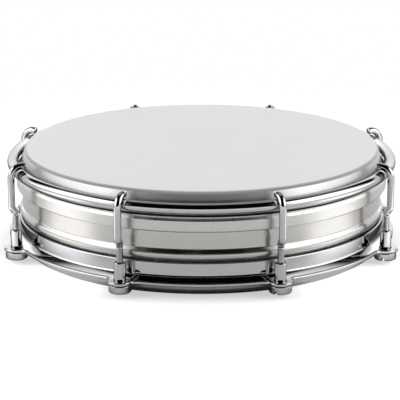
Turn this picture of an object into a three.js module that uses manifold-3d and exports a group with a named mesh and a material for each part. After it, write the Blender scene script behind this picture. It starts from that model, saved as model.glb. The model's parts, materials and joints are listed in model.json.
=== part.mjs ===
// Tamborim: a small single-headed frame drum with a rolled steel shell.
// Eight J-hooks pull a round-rod counter hoop and the plastic head down over the
// shell's bearing edge. Each hook is drawn by a slotted tube nut that turns in an
// ear of the tuning ring, and the ring bears up against the bead of the shell.
// Millimetres, +Z up. The origin is on the drum's axis, in the plane it rests on.
import * as THREE from 'three';
import { mergeVertices } from 'three/addons/utils/BufferGeometryUtils.js';
import Module from 'manifold-3d';

const wasm = await Module();
wasm.setup();

// Fits
const SEAT_GAP = 0.3; // between pieces that bear on each other
const RUNNING_GAP = 0.3; // round a nut in its ear and round a hook in its nut
const RESIN_GAP = 0.08; // round the film and the resin in the hoop's channel
const COLLAR_EASE = 0.05; // how much looser the tuning ring's collar is than its seat under the bead

// Shell
const SHELL_DIAMETER = 152.4;
const SHELL_HEIGHT = 41.8; // from the rest plane to the crown of the bearing edge
const SHELL_WALL = 1;
const RIM_RADIUS = 2.6; // outside of the in-rolled bottom rim
const RIM_LIP = 2.2; // flat width of the rim that stands on the table
const BEAD_CENTRE = 16.5; // height of the bead's crest
const BEAD_HEIGHT = 6.2;
const BEAD_PROUD = 1.1;
const BEAD_BLEND = 1.8; // hollow radius between the wall and the bead
const NECK_STEP = 1.8; // how far the neck stands in from the wall
const NECK_HEIGHT = 6.4; // straight neck below the crown
const NECK_TAPER = 2; // height of the taper from wall to neck
const CROWN_RADIUS = 1.4;
const CROWN_LIP = 2; // in-turned lip behind the crown

// Head: film, flesh hoop and resin
const FILM_THICKNESS = 0.3;
const FILM_SHOULDER = 1.4;
const FILM_FLARE = 2.4; // height over which the collar flares into the hoop
const FILM_FOOT = 1.5; // from the channel's floor to the film's edge
const HEAD_DEPTH = 15.9; // from the film's face to the bottom of the flesh hoop
const FLESH_WIDTH = 2.1;
const FLESH_HEIGHT = 8.4;
const FLESH_WALL = 0.4;
const FLESH_INNER_HEIGHT = 6.3;
const FLESH_CURL = 1; // outside radius of the curled top edge
const GROOVE_DROP = 1.85; // from the curl's centre down to the deepest line of the rolled groove
const GROOVE_RISE = 0.95; // from that line up to the full wall
const GROOVE_RUN = 1.35; // from that line down to the full wall

// Counter hoop
const HOOP_ROD = 4.8;
const HOOP_SEAT_ANGLE = 52; // degrees above level at which the rod sits on the curl

// Hooks
const STATIONS = 8;
const HOOK_ROD = 3;
const HOOK_THREAD = 2.7; // outside diameter of the threaded end
const HOOK_BEND_EASE = 0.4; // how much looser the bend is than the hoop
const HOOK_WRAP = 107; // degrees that the bend runs over the hoop
const HOOK_JOG = 1.6; // inward set of the lower rod
const HOOK_JOG_HEIGHT = 22.7;
const HOOK_JOG_LENGTH = 3;
const HOOK_THREAD_ABOVE_NUT = 2.5;
const HOOK_END_CHAMFER = 0.4;
const HOOK_END_GAP = 0.6; // from the bottom of the nut's slot to the hook's end

// Tuning ring
const COLLAR_WALL = 1.05;
const COLLAR_FILLET = 2.3;
const FLANGE_BOTTOM = 5.2;
const FLANGE_PLATE = 1.5;
const FLANGE_WIDTH = 4.3; // from the collar to the rim
const EAR_RADIUS = 5.1;
const EAR_BLEND = 3.2; // concave radius between the rim and an ear

// Tube nuts
const SLEEVE_DIAMETER = 4.7;
const SLEEVE_LENGTH = 7.4; // above the ear
const SLEEVE_CHAMFER = 0.35;
const NUT_HEAD_DIAMETER = 9.2;
const NUT_HEAD_HEIGHT = 3.2;
const NUT_HEAD_ROUND = 0.8;
const SLOT_WIDTH = 1.4;
const SLOT_DEPTH = 1.6;
const SLOT_TURNS = [62, 25, 110, 160, 75, 15, 130, 95]; // degrees, as left by tuning

// Facets
const RING_SIDES = 48;
const HOOP_SIDES = 10;
const HOOK_SIDES = 8;
const BEND_STEPS = 6;
const JOG_STEPS = 4;
const NUT_SIDES = 12;
const ROUND_STEPS = 3;
const BEAD_STEPS = 3;
const BLEND_STEPS = 2;
const INSIDE_BLEND_STEPS = 1;
const HIDDEN_STEPS = 2; // of rounds under the film and inside the hoop
const EAR_STEPS = 3;
const ARC_EDGES = 2 * EAR_STEPS; // edges that each arc of the flange is drawn in
const EAR_HOLE_ARCS = 3;
const NUT_ROUND_STEPS = 2;
const WELD = 1e-4;

// Radii and heights that follow from the sizes above
const shellRadius = SHELL_DIAMETER / 2;
const neckRadius = shellRadius - NECK_STEP;
const neckBottom = SHELL_HEIGHT - NECK_HEIGHT;
const beadBottom = BEAD_CENTRE - BEAD_HEIGHT / 2;
const beadTop = BEAD_CENTRE + BEAD_HEIGHT / 2;

const filmTop = SHELL_HEIGHT + SEAT_GAP + FILM_THICKNESS;
const filmCollarRadius = neckRadius + SEAT_GAP + FILM_THICKNESS;

const fleshBottom = filmTop - HEAD_DEPTH;
const fleshInner = shellRadius + SEAT_GAP;
const fleshOuter = fleshInner + FLESH_WIDTH;
const channelInner = fleshInner + FLESH_WALL;
const channelOuter = fleshOuter - FLESH_WALL;
const channelFloor = fleshBottom + FLESH_WALL;
const fleshInnerTop = fleshBottom + FLESH_INNER_HEIGHT;
const curlRadius = fleshOuter - FLESH_CURL;
const curlHeight = fleshBottom + FLESH_HEIGHT - FLESH_CURL;

const filmRootRadius = (channelInner + channelOuter + FILM_THICKNESS) / 2;
const filmFoot = channelFloor + FILM_FOOT;
const flareBottom = fleshInnerTop + FILM_THICKNESS + SEAT_GAP;
const grooveRadius = filmRootRadius + RESIN_GAP + FLESH_WALL;
const grooveHeight = curlHeight - GROOVE_DROP;
const grooveBottom = grooveHeight - GROOVE_RUN;
const grooveTop = grooveHeight + GROOVE_RISE;

const hoopSeat = FLESH_CURL + SEAT_GAP + HOOP_ROD / 2;
const seatAngle = THREE.MathUtils.degToRad(HOOP_SEAT_ANGLE);
const hoopRadius = curlRadius + hoopSeat * Math.cos(seatAngle);
const hoopHeight = curlHeight + hoopSeat * Math.sin(seatAngle);

const hookBend = HOOP_ROD / 2 + SEAT_GAP + HOOK_ROD / 2 + HOOK_BEND_EASE;
const hookBendHeight = hoopHeight - HOOK_BEND_EASE;
const hookUpperRadius = hoopRadius + hookBend;
const stationRadius = hookUpperRadius - HOOK_JOG;

const collarInner = shellRadius + SEAT_GAP + COLLAR_EASE;
const collarOuter = collarInner + COLLAR_WALL;
const seatReach = BEAD_BLEND - SEAT_GAP;
const collarTop = beadBottom + Math.sqrt(seatReach ** 2 - (seatReach - COLLAR_EASE) ** 2);
const flangeTop = FLANGE_BOTTOM + FLANGE_PLATE;
const flangeRadius = collarOuter + FLANGE_WIDTH;

const sleeveTop = flangeTop + SLEEVE_LENGTH;
const nutHeadTop = FLANGE_BOTTOM - SEAT_GAP;
const nutBottom = nutHeadTop - NUT_HEAD_HEIGHT;
const hookThreadTop = sleeveTop + HOOK_THREAD_ABOVE_NUT;
const hookEnd = nutBottom + SLOT_DEPTH + HOOK_END_GAP;

// Finishes
const finish = {
  satinSteel: { color: 0xb4b0aa, roughness: 0.3, metalness: 1 },
  chrome: { color: 0xc4c3c8, roughness: 0.08, metalness: 1 },
  satinAluminium: { color: 0xc9c6c1, roughness: 0.32, metalness: 1 },
  whiteFilm: { color: 0xe6e5e4, roughness: 0.38, metalness: 0 },
  amberResin: { color: 0x9a8b6a, roughness: 0.6, metalness: 0 },
};

// Points of an arc about (r, z) in a radial section, from one angle to another in degrees
function arc(r, z, radius, from, to, steps = ROUND_STEPS) {
  const points = [];
  for (let i = 0; i <= steps; i += 1) {
    const angle = THREE.MathUtils.degToRad(from + ((to - from) * i) / steps);
    points.push([r + radius * Math.cos(angle), z + radius * Math.sin(angle)]);
  }
  return points;
}

// Welded triangles with only positions left
function welded(geometry) {
  geometry.deleteAttribute('normal');
  geometry.deleteAttribute('uv');
  return mergeVertices(geometry, WELD);
}

// A section of (r, z) points turned about +Z. The outer side of the section runs upwards
function turned(section, sides) {
  const points = section.map(([r, z]) => new THREE.Vector2(r, z));
  return welded(new THREE.LatheGeometry(points, sides).rotateX(Math.PI / 2));
}

// A section that closes on itself, for a ring
function ring(section, sides = RING_SIDES) {
  return turned([...section, section[0]], sides);
}

function toManifold(geometry) {
  const source = welded(geometry);
  const vertProperties = new Float32Array(source.attributes.position.array);
  const triVerts = new Uint32Array(source.index.array);
  return new wasm.Manifold(new wasm.Mesh({ numProp: 3, vertProperties, triVerts }));
}

function fromManifold(solid) {
  const { vertProperties, triVerts } = solid.getMesh();
  const geometry = new THREE.BufferGeometry();
  geometry.setAttribute('position', new THREE.BufferAttribute(vertProperties, 3));
  geometry.setIndex(new THREE.BufferAttribute(triVerts, 1));
  return geometry;
}

function join(first, second) {
  return fromManifold(toManifold(first).add(toManifold(second)));
}

function cut(body, tool) {
  return fromManifold(toManifold(body).subtract(toManifold(tool)));
}

function piece(name, geometry, look) {
  geometry.computeVertexNormals();
  const mesh = new THREE.Mesh(geometry, new THREE.MeshStandardMaterial(look));
  mesh.name = name;
  return mesh;
}

// Section of the bead, from its lower to its upper end, with hollow blends into the wall.
// The inset moves it inwards from the outer face
function beadLine(inset, blendSteps) {
  const reach = (BEAD_HEIGHT ** 2 / 4 + BEAD_PROUD ** 2) / (2 * BEAD_PROUD);
  const crest = reach - BEAD_BLEND;
  const crestAxis = shellRadius + BEAD_PROUD - crest;
  const blendAxis = shellRadius + BEAD_BLEND;
  const lean = THREE.MathUtils.radToDeg(Math.acos((reach - BEAD_PROUD) / reach));
  const hollow = BEAD_BLEND + inset;
  return [
    ...arc(blendAxis, beadBottom, hollow, 180, 180 - lean, blendSteps),
    ...arc(crestAxis, BEAD_CENTRE, crest - inset, -lean, lean, BEAD_STEPS).slice(1, -1),
    ...arc(blendAxis, beadTop, hollow, 180 + lean, 180, blendSteps),
  ];
}

// Shell: one rolled strip of sheet, with an in-turned rim below, a bead pressed out of
// the wall, and a narrower neck that ends in the rounded bearing edge
function shellGeometry() {
  const innerWall = shellRadius - SHELL_WALL;
  const rimCentre = shellRadius - RIM_RADIUS;
  const crownCentre = neckRadius - CROWN_RADIUS;
  const crownHeight = SHELL_HEIGHT - CROWN_RADIUS;
  return ring([
    [rimCentre - RIM_LIP, 0],
    ...arc(rimCentre, RIM_RADIUS, RIM_RADIUS, -90, 0),
    ...beadLine(0, BLEND_STEPS),
    [shellRadius, neckBottom - NECK_TAPER],
    [neckRadius, neckBottom],
    ...arc(crownCentre, crownHeight, CROWN_RADIUS, 0, 90),
    [crownCentre - CROWN_LIP, SHELL_HEIGHT],
    [crownCentre - CROWN_LIP, SHELL_HEIGHT - SHELL_WALL],
    [crownCentre, SHELL_HEIGHT - SHELL_WALL],
    [neckRadius - SHELL_WALL, crownHeight],
    [neckRadius - SHELL_WALL, neckBottom],
    [innerWall, neckBottom - NECK_TAPER],
    ...beadLine(SHELL_WALL, INSIDE_BLEND_STEPS).reverse(),
    [innerWall, RIM_RADIUS],
    [rimCentre, SHELL_WALL],
    [rimCentre - RIM_LIP, SHELL_WALL],
  ]);
}

// Film: flat face, rounded shoulder, straight collar, and a flare into the hoop's channel
function filmGeometry() {
  const outer = [[filmRootRadius, filmFoot]];
  for (let i = 0; i <= ROUND_STEPS; i += 1) {
    const t = i / ROUND_STEPS;
    const ease = THREE.MathUtils.smoothstep(t, 0, 1);
    const r = filmRootRadius + (filmCollarRadius - filmRootRadius) * ease;
    outer.push([r, flareBottom + FILM_FLARE * t]);
  }
  const inner = outer.map(([r, z]) => [r - FILM_THICKNESS, z]).reverse();
  const shoulderRadius = filmCollarRadius - FILM_SHOULDER;
  const shoulderHeight = filmTop - FILM_SHOULDER;
  const innerShoulder = FILM_SHOULDER - FILM_THICKNESS;
  return turned([
    [0, filmTop - FILM_THICKNESS],
    ...arc(shoulderRadius, shoulderHeight, innerShoulder, 90, 0, HIDDEN_STEPS),
    ...inner,
    ...outer,
    ...arc(shoulderRadius, shoulderHeight, FILM_SHOULDER, 0, 90),
    [0, filmTop],
  ], RING_SIDES);
}

// Flesh hoop: a channel open at the top, its outer wall rolled in to a groove that holds
// the film, and curled in over it
function fleshHoopGeometry() {
  const curlReach = (filmRootRadius + SEAT_GAP - curlRadius) / FLESH_CURL;
  const curlEnd = THREE.MathUtils.radToDeg(Math.acos(curlReach));
  return ring([
    [fleshInner, fleshBottom],
    [fleshOuter, fleshBottom],
    [fleshOuter, grooveBottom],
    [grooveRadius, grooveHeight],
    [fleshOuter, grooveTop],
    ...arc(curlRadius, curlHeight, FLESH_CURL, 0, curlEnd),
    ...arc(curlRadius, curlHeight, FLESH_CURL - FLESH_WALL, curlEnd, 0, HIDDEN_STEPS),
    [channelOuter, grooveTop],
    [grooveRadius - FLESH_WALL, grooveHeight],
    [channelOuter, grooveBottom],
    [channelOuter, channelFloor],
    [channelInner, channelFloor],
    [channelInner, fleshInnerTop],
    [fleshInner, fleshInnerTop],
  ]);
}

// Resin: fills the channel up to the groove and grips the edge of the film
function resinGeometry() {
  const inner = channelInner + RESIN_GAP;
  const outer = channelOuter - RESIN_GAP;
  const floor = channelFloor + RESIN_GAP;
  const top = grooveBottom - RESIN_GAP;
  const grooveInner = filmRootRadius - FILM_THICKNESS - RESIN_GAP;
  const grooveOuter = filmRootRadius + RESIN_GAP;
  const grooveFloor = filmFoot - RESIN_GAP;
  return ring([
    [inner, floor],
    [outer, floor],
    [outer, top],
    [grooveOuter, top],
    [grooveOuter, grooveFloor],
    [grooveInner, grooveFloor],
    [grooveInner, top],
    [inner, top],
  ]);
}

// Counter hoop: a round rod bent to a ring and welded
function counterHoopGeometry() {
  return ring(arc(hoopRadius, hoopHeight, HOOP_ROD / 2, 0, 360, HOOP_SIDES).slice(1));
}

// A round bar of [r, z, radius] points along a line in the radial plane, closed at both ends
function swept(line, sides) {
  const positions = [];
  const index = [];
  const last = line.length - 1;
  line.forEach(([r, z, radius], i) => {
    const back = line[Math.max(i - 1, 0)];
    const ahead = line[Math.min(i + 1, last)];
    const way = Math.atan2(ahead[1] - back[1], ahead[0] - back[0]);
    for (let k = 0; k < sides; k += 1) {
      const turn = ((k + 0.5) * 2 * Math.PI) / sides;
      const out = radius * Math.cos(turn);
      positions.push(r - out * Math.sin(way), -radius * Math.sin(turn), z + out * Math.cos(way));
    }
  });
  for (let i = 0; i < last; i += 1) {
    for (let k = 0; k < sides; k += 1) {
      const a = i * sides + k;
      const b = i * sides + ((k + 1) % sides);
      index.push(a, b, a + sides, b, b + sides, a + sides);
    }
  }
  for (let k = 1; k < sides - 1; k += 1) {
    const foot = last * sides;
    index.push(0, k + 1, k, foot, foot + k, foot + k + 1);
  }
  const geometry = new THREE.BufferGeometry();
  geometry.setAttribute('position', new THREE.Float32BufferAttribute(positions, 3));
  geometry.setIndex(index);
  return geometry;
}

// Hook: a rod bent over the hoop, set inwards by an eased jog, with a turned-down
// threaded end. Its line runs from the tip over the hoop and down
function hookGeometry() {
  const rod = HOOK_ROD / 2;
  const thread = HOOK_THREAD / 2;
  const bend = arc(hoopRadius, hookBendHeight, hookBend, HOOK_WRAP, 0, BEND_STEPS);
  const jogTop = HOOK_JOG_HEIGHT + HOOK_JOG_LENGTH / 2;
  const jog = [];
  for (let i = 0; i <= JOG_STEPS; i += 1) {
    const t = i / JOG_STEPS;
    const ease = THREE.MathUtils.smoothstep(t, 0, 1);
    jog.push([hookUpperRadius - HOOK_JOG * ease, jogTop - HOOK_JOG_LENGTH * t]);
  }
  const line = [...bend, ...jog].map(([r, z]) => [r, z, rod]);
  line.push([stationRadius, hookThreadTop + HOOK_END_CHAMFER, rod]);
  line.push([stationRadius, hookThreadTop, thread]);
  line.push([stationRadius, hookEnd + HOOK_END_CHAMFER, thread]);
  line.push([stationRadius, hookEnd, thread - HOOK_END_CHAMFER]);
  return swept(line, HOOK_SIDES);
}

// Outline of the flange: the rim with an ear at each station, blended by concave arcs
function flangeOutline() {
  const blendCentre = flangeRadius + EAR_BLEND;
  const reach = EAR_RADIUS + EAR_BLEND;
  const spread = Math.acos(
    (stationRadius ** 2 + blendCentre ** 2 - reach ** 2) / (2 * stationRadius * blendCentre),
  );
  const lean = Math.acos(
    (stationRadius ** 2 + reach ** 2 - blendCentre ** 2) / (2 * stationRadius * reach),
  );
  const shape = new THREE.Shape();
  for (let k = 0; k < STATIONS; k += 1) {
    const a = stationAngle(k);
    const next = stationAngle(k + 1);
    const enter = a - spread;
    const leave = a + spread;
    const earIn = a + Math.PI + lean;
    const earOut = a + Math.PI - lean;
    shape.absarc(
      blendCentre * Math.cos(enter), blendCentre * Math.sin(enter), EAR_BLEND,
      enter + Math.PI, earIn - Math.PI, true,
    );
    shape.absarc(stationRadius * Math.cos(a), stationRadius * Math.sin(a), EAR_RADIUS, earIn, earOut);
    shape.absarc(
      blendCentre * Math.cos(leave), blendCentre * Math.sin(leave), EAR_BLEND,
      earOut - Math.PI, leave + Math.PI, true,
    );
    shape.absarc(0, 0, flangeRadius, leave, next - spread);
  }
  return shape;
}

// A round hole for the flange, drawn as a number of equal arcs
function roundHole(x, y, radius, arcs) {
  const path = new THREE.Path();
  const step = (2 * Math.PI) / arcs;
  for (let i = 0; i < arcs; i += 1) {
    path.absarc(x, y, radius, i * step, (i + 1) * step);
  }
  return path;
}

// Tuning ring: an upright collar round the shell, filleted into the flat flange with ears
function tuningRingGeometry() {
  const outline = flangeOutline();
  const inside = (collarInner + collarOuter) / 2;
  outline.holes.push(roundHole(0, 0, inside, RING_SIDES / ARC_EDGES));
  const earHole = SLEEVE_DIAMETER / 2 + RUNNING_GAP;
  for (let k = 0; k < STATIONS; k += 1) {
    const x = stationRadius * Math.cos(stationAngle(k));
    const y = stationRadius * Math.sin(stationAngle(k));
    outline.holes.push(roundHole(x, y, earHole, EAR_HOLE_ARCS));
  }
  const plate = new THREE.ExtrudeGeometry(outline, {
    depth: FLANGE_PLATE, bevelEnabled: false, curveSegments: EAR_STEPS,
  }).translate(0, 0, FLANGE_BOTTOM);
  const foot = flangeTop - FLANGE_PLATE / 2;
  const collar = ring([
    [collarInner, FLANGE_BOTTOM],
    [collarOuter, FLANGE_BOTTOM],
    [collarOuter + COLLAR_FILLET, foot],
    ...arc(collarOuter + COLLAR_FILLET, flangeTop + COLLAR_FILLET, COLLAR_FILLET, -90, -180),
    [collarOuter, collarTop],
    [collarInner, collarTop],
  ]);
  return join(plate, collar);
}

// Tube nut about its own axis: a bored sleeve over a wide head with a driver slot
function nutGeometry() {
  const bore = HOOK_THREAD / 2 + RUNNING_GAP;
  const sleeve = SLEEVE_DIAMETER / 2;
  const head = NUT_HEAD_DIAMETER / 2;
  const body = ring([
    [bore, nutBottom],
    ...arc(head - NUT_HEAD_ROUND, nutBottom + NUT_HEAD_ROUND, NUT_HEAD_ROUND, -90, 0, NUT_ROUND_STEPS),
    [head, nutHeadTop],
    [sleeve, nutHeadTop],
    [sleeve, sleeveTop - SLEEVE_CHAMFER],
    [sleeve - SLEEVE_CHAMFER, sleeveTop],
    [bore, sleeveTop],
  ], NUT_SIDES);
  const slot = new THREE.BoxGeometry(NUT_HEAD_DIAMETER * 2, SLOT_WIDTH, SLOT_DEPTH * 2);
  return cut(body, slot.translate(0, 0, nutBottom));
}

// Stations run anticlockwise, seen from above, from the right of the front
function stationAngle(k) {
  return -Math.PI / 2 + ((k + 0.5) * 2 * Math.PI) / STATIONS;
}

const tamborim = new THREE.Group();
tamborim.add(piece('shell', shellGeometry(), finish.satinSteel));
tamborim.add(piece('tuning_ring', tuningRingGeometry(), finish.chrome));
tamborim.add(piece('head_film', filmGeometry(), finish.whiteFilm));
tamborim.add(piece('flesh_hoop', fleshHoopGeometry(), finish.satinAluminium));
tamborim.add(piece('hoop_resin', resinGeometry(), finish.amberResin));
tamborim.add(piece('counter_hoop', counterHoopGeometry(), finish.chrome));

for (let k = 0; k < STATIONS; k += 1) {
  const station = new THREE.Group();
  station.rotation.z = stationAngle(k);
  station.add(piece(`hook_${k + 1}`, hookGeometry(), finish.chrome));
  const nut = piece(`tension_nut_${k + 1}`, nutGeometry(), finish.chrome);
  nut.position.x = stationRadius;
  nut.rotation.z = THREE.MathUtils.degToRad(SLOT_TURNS[k]);
  station.add(nut);
  tamborim.add(station);
}

export default tamborim;
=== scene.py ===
"""Tamborim with a rolled steel shell, a plastic head and eight tension hooks.

Every piece is turned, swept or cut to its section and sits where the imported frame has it.
Lengths are in metres, +Z is up, and the drum stands on the origin.
"""

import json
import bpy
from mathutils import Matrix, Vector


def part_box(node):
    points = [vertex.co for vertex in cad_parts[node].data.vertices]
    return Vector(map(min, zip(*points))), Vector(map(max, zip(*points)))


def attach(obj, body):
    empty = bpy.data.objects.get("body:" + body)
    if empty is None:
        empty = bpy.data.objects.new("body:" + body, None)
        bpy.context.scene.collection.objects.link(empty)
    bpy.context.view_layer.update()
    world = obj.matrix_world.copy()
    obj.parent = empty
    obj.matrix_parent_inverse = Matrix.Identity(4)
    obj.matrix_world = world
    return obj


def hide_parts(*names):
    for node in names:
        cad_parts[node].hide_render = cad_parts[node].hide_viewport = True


bl_info = {
    "name": "Tamborim",
    "version": (1, 0, 0),
    "blender": (4, 5, 0),
    "location": "3D View > Sidebar > Tamborim",
    "description": "Builds a steel-shelled tamborim and the studio that it stands in",
    "category": "Add Mesh",
}

from math import acos, atan2, ceil, cos, pi, radians, sin, tan, tau

import bmesh
import bpy
from bpy.props import FloatProperty, FloatVectorProperty, IntProperty, PointerProperty
from bpy.types import Operator, Panel, PropertyGroup
from mathutils import Matrix, Vector

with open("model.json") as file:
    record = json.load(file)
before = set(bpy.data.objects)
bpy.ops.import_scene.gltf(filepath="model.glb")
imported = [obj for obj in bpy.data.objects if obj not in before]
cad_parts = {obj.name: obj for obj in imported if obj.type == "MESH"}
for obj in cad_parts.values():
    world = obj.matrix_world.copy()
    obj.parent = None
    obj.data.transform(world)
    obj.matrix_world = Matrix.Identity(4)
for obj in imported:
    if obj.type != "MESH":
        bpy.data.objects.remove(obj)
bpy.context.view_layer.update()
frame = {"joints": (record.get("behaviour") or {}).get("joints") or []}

MM = 0.001
WHITE = (1, 1, 1, 1)
SHARP_EDGE = radians(35)  # edges that turn further than this are shaded sharp
ARC_STEP = radians(9)  # longest step round a rounded corner
BEND_STEP = radians(4)  # longest step round a hook's bend
HOLD = 0.05 * MM  # from the end of an arc to the point that keeps the next stretch flat
WELD = 0.001 * MM  # points of a turned piece that are closer than this become one
THREAD_WELD = 0.0025 * MM  # and those of a threaded one
POUR_GAP = 0.08 * MM  # between the resin and what it is poured round
FACE_RINGS = 8  # rings of faces across the film's flat
EAR_STEPS = 32  # steps along the edge of an ear
BLEND_STEPS = 12  # along each hollow blend beside it
RIM_STEPS = 36  # along the rim between two ears
HOLE_STEPS = 50  # round an ear's hole
JOG_STEPS = 16  # along a hook's jog
FLOOR_STEPS = 64  # round the floor
THREAD_FORM = ((0.0, 1), (0.22, 1), (0.5, 0), (0.66, 0))  # share of the pitch, share of the depth
RUNOUT_TURNS = 2  # over which the thread's groove runs out at the top
SPARE_TURNS = 3  # drawn past each end of the thread, where they lie flat
LEAD_POINT = 0.9  # radius of the thread's pointed end, as a share of its root's
LINES_ROUND = 6.0  # rolling lines for each radian round the drum
LINES_ACROSS = 9000.0  # and for each metre across
NOISE_LOW, NOISE_HIGH = 0.3, 0.7  # most of a noise lies between these

_, SHELL_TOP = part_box("shell")
FILM_BOTTOM, FILM_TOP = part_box("head_film")
FLESH_BOTTOM, FLESH_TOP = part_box("flesh_hoop")
HOOP_BOTTOM, HOOP_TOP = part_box("counter_hoop")
HOOP_HALF = (HOOP_TOP.z - HOOP_BOTTOM.z) / 2
RING_BOTTOM, RING_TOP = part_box("tuning_ring")
NUT_BOTTOM, NUT_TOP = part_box("tension_nut_1")
HOOK_BOTTOM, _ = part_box("hook_1")
STATIONS = [Vector(joint["pos_m"]) for joint in frame["joints"] if joint["type"] == "hinge"]
STATION_RADIUS = STATIONS[0].xy.length
SLOT_TURNS = [radians(degrees) for degrees in (131, 95, 110, 160, 75, 15, 130, 95)]


def kind_of(prop, **fixed):
    """A maker of one kind of property, from its name, description and default."""

    def make(name, description, default):
        return prop(name=name, description=description, default=default, **fixed)

    return make


length = kind_of(FloatProperty, min=0.0, precision=5, unit="LENGTH", subtype="DISTANCE")
span = kind_of(FloatVectorProperty, size=2, min=0.0, precision=5, unit="LENGTH")
spot = kind_of(FloatVectorProperty, size=3, precision=5, unit="LENGTH", subtype="TRANSLATION")
share = kind_of(FloatProperty, min=0.0, max=1.0, subtype="FACTOR")
tint = kind_of(FloatVectorProperty, size=3, min=0.0, max=1.0, subtype="COLOR")
angles = kind_of(FloatVectorProperty, size=len(STATIONS), unit="ROTATION")
glow = kind_of(FloatProperty, min=0.0)
watts = kind_of(FloatProperty, min=0.0, unit="POWER")
optics = kind_of(FloatProperty, unit="CAMERA")
steps = kind_of(IntProperty, min=8)


def mm(name, description, default):
    """A length whose default is given in millimetres."""
    return length(name, description, default * MM)


def angle(name, description, degrees):
    """An angle whose default is given in degrees."""
    return FloatProperty(
        name=name, description=description, default=radians(degrees), unit="ROTATION", subtype="ANGLE"
    )


class TAMBORIM_PG_shell(PropertyGroup):
    """Sizes of the rolled shell"""

    diameter: mm("Diameter", "Outside diameter of the wall", 152.4)
    height: length("Height", "From the table to the bearing edge", SHELL_TOP.z)
    wall: mm("Wall", "Thickness of the sheet", 1)
    rim_radius: mm("Rim radius", "Outside radius of the in-rolled bottom rim", 2.6)
    rim_lip: mm("Rim lip", "Flat width of the rim on the table", 2.2)
    bead_height: mm("Bead height", "Height of the bead's crest above the table", 16.5)
    bead_width: mm("Bead width", "Height over which the bead stands out", 6.2)
    bead_proud: mm("Bead proud", "How far the bead stands out of the wall", 1.1)
    bead_blend: mm("Bead blend", "Hollow radius between the wall and the bead", 1.8)
    neck_step: mm("Neck step", "How far the neck stands in from the wall", 1.8)
    neck_height: mm("Neck height", "Straight neck below the bearing edge", 6.4)
    neck_taper: mm("Neck taper", "Height of the taper from wall to neck", 2)
    taper_round: mm("Taper rounding", "Radius at both ends of the taper", 1.5)
    crown: mm("Crown radius", "Radius of the bearing edge", 1.4)
    crown_lip: mm("Crown lip", "In-turned lip behind the bearing edge", 2)
    edge: mm("Edge", "Rounding of the cut edges", 0.35)
    segments: steps("Steps", "Steps round the drum", 288)


class TAMBORIM_PG_head(PropertyGroup):
    """Sizes of the film, its flesh hoop and the counter hoop"""

    film_top: length("Film height", "Height of the playing face", FILM_TOP.z)
    film_foot: length("Film foot", "Height of the film's edge in the channel", FILM_BOTTOM.z)
    film_thickness: mm("Film", "Thickness of the film", 0.3)
    film_collar: mm("Collar radius", "Outside radius of the film's collar below the shoulder", 74.85)
    film_root: mm("Root radius", "Outside radius of the film in the channel", 77.45)
    film_shoulder: mm("Shoulder", "Radius between the face and the collar", 1.4)
    # Painted shade: the coat's colour darkens over the shoulder from this radius outwards
    shoulder_shade_radius: mm("Coat radius", "Radius where the white coat begins to thin", 73.7)
    coat_foot: mm("Coat foot", "Height on the shoulder where the coat ends", 41.25)
    flare_top: mm("Flare top", "Height where the collar starts to flare", 35.9)
    flare_radius: mm("Flare radius", "Outside radius of the collar where the flare starts", 76.6)
    flare_bottom: mm("Flare bottom", "Height where the flare ends", 33.3)
    flesh_bottom: length("Flesh hoop bottom", "Height of the flesh hoop's lower edge", FLESH_BOTTOM.z)
    flesh_top: length("Flesh hoop top", "Height of the flesh hoop's curl", FLESH_TOP.z)
    flesh_outer: length("Flesh hoop radius", "Outside radius of the flesh hoop", FLESH_TOP.x)
    flesh_width: mm("Channel width", "Radial width of the flesh hoop", 2.1)
    flesh_wall: mm("Channel wall", "Thickness of the flesh hoop", 0.4)
    flesh_curl: mm("Curl", "How far the curled top edge is rolled in", 0.8)
    curl_inset: mm("Curl inset", "How far the curl lies in from the outside", 0.25)
    curl_height: mm("Curl height", "Height where the curl stands out most", 34.2)
    curl_turn: angle("Curl turn", "How far round the curl is rolled", 66)
    groove_depth: mm("Groove depth", "Depth of the lower rolled groove", 0.55)
    notch_depth: mm("Notch depth", "Depth of the upper groove, under the curl", 0.8)
    groove_bottom: mm("Groove bottom", "Height where the lower groove starts", 31.2)
    groove_height: mm("Groove height", "Height of the lower groove's deepest line", 32.4)
    roll_height: mm("Roll height", "Height of the roll between the grooves", 32.85)
    notch_height: mm("Notch height", "Height of the upper groove's deepest line", 33.35)
    resin_top: mm("Resin", "Height of the resin in the channel", 30.6)
    hoop_radius: length("Counter hoop radius", "Radius of the rod's centre line", HOOP_TOP.x - HOOP_HALF)
    hoop_height: length("Counter hoop height", "Height of the rod's centre line", HOOP_TOP.z - HOOP_HALF)
    hoop_rod: mm("Counter hoop rod", "Diameter of the rod", 4.8)
    segments: steps("Steps", "Steps round the drum", 288)


class TAMBORIM_PG_ring(PropertyGroup):
    """Sizes of the tuning ring"""

    bottom: length("Bottom", "Height of the flange's underside", RING_BOTTOM.z)
    top: length("Top", "Height of the collar's top edge", RING_TOP.z)
    collar_radius: mm("Collar radius", "Inside radius of the collar", 76.55)
    collar_wall: mm("Collar wall", "Thickness of the collar", 1.05)
    fillet: mm("Fillet", "Hollow radius between collar and flange", 1.05)
    slope: mm("Slope", "How far the flange falls from the collar to its rim", 1.5)
    slope_stop: mm("Slope stop", "From the rim to where the flange's slope ends", 1.2)
    top_inside: mm("Top edge, inside", "Rounding of the collar's top edge on the inside", 0.315)
    top_outside: mm("Top edge, outside", "Rounding of the collar's top edge on the outside", 0.42)
    plate: mm("Flange", "Thickness of the flange", 1.5)
    rim_radius: mm("Flange radius", "Outside radius of the flange between the ears", 81.9)
    ear_radius: mm("Ear radius", "Radius of each ear about its nut", 5.1)
    ear_blend: mm("Ear blend", "Hollow radius between an ear and the rim", 3.2)
    ear_hole: mm("Ear hole", "Diameter of the hole in each ear", 5.3)
    edge: mm("Edge", "Rounding of the flange's edges", 0.5)


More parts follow.
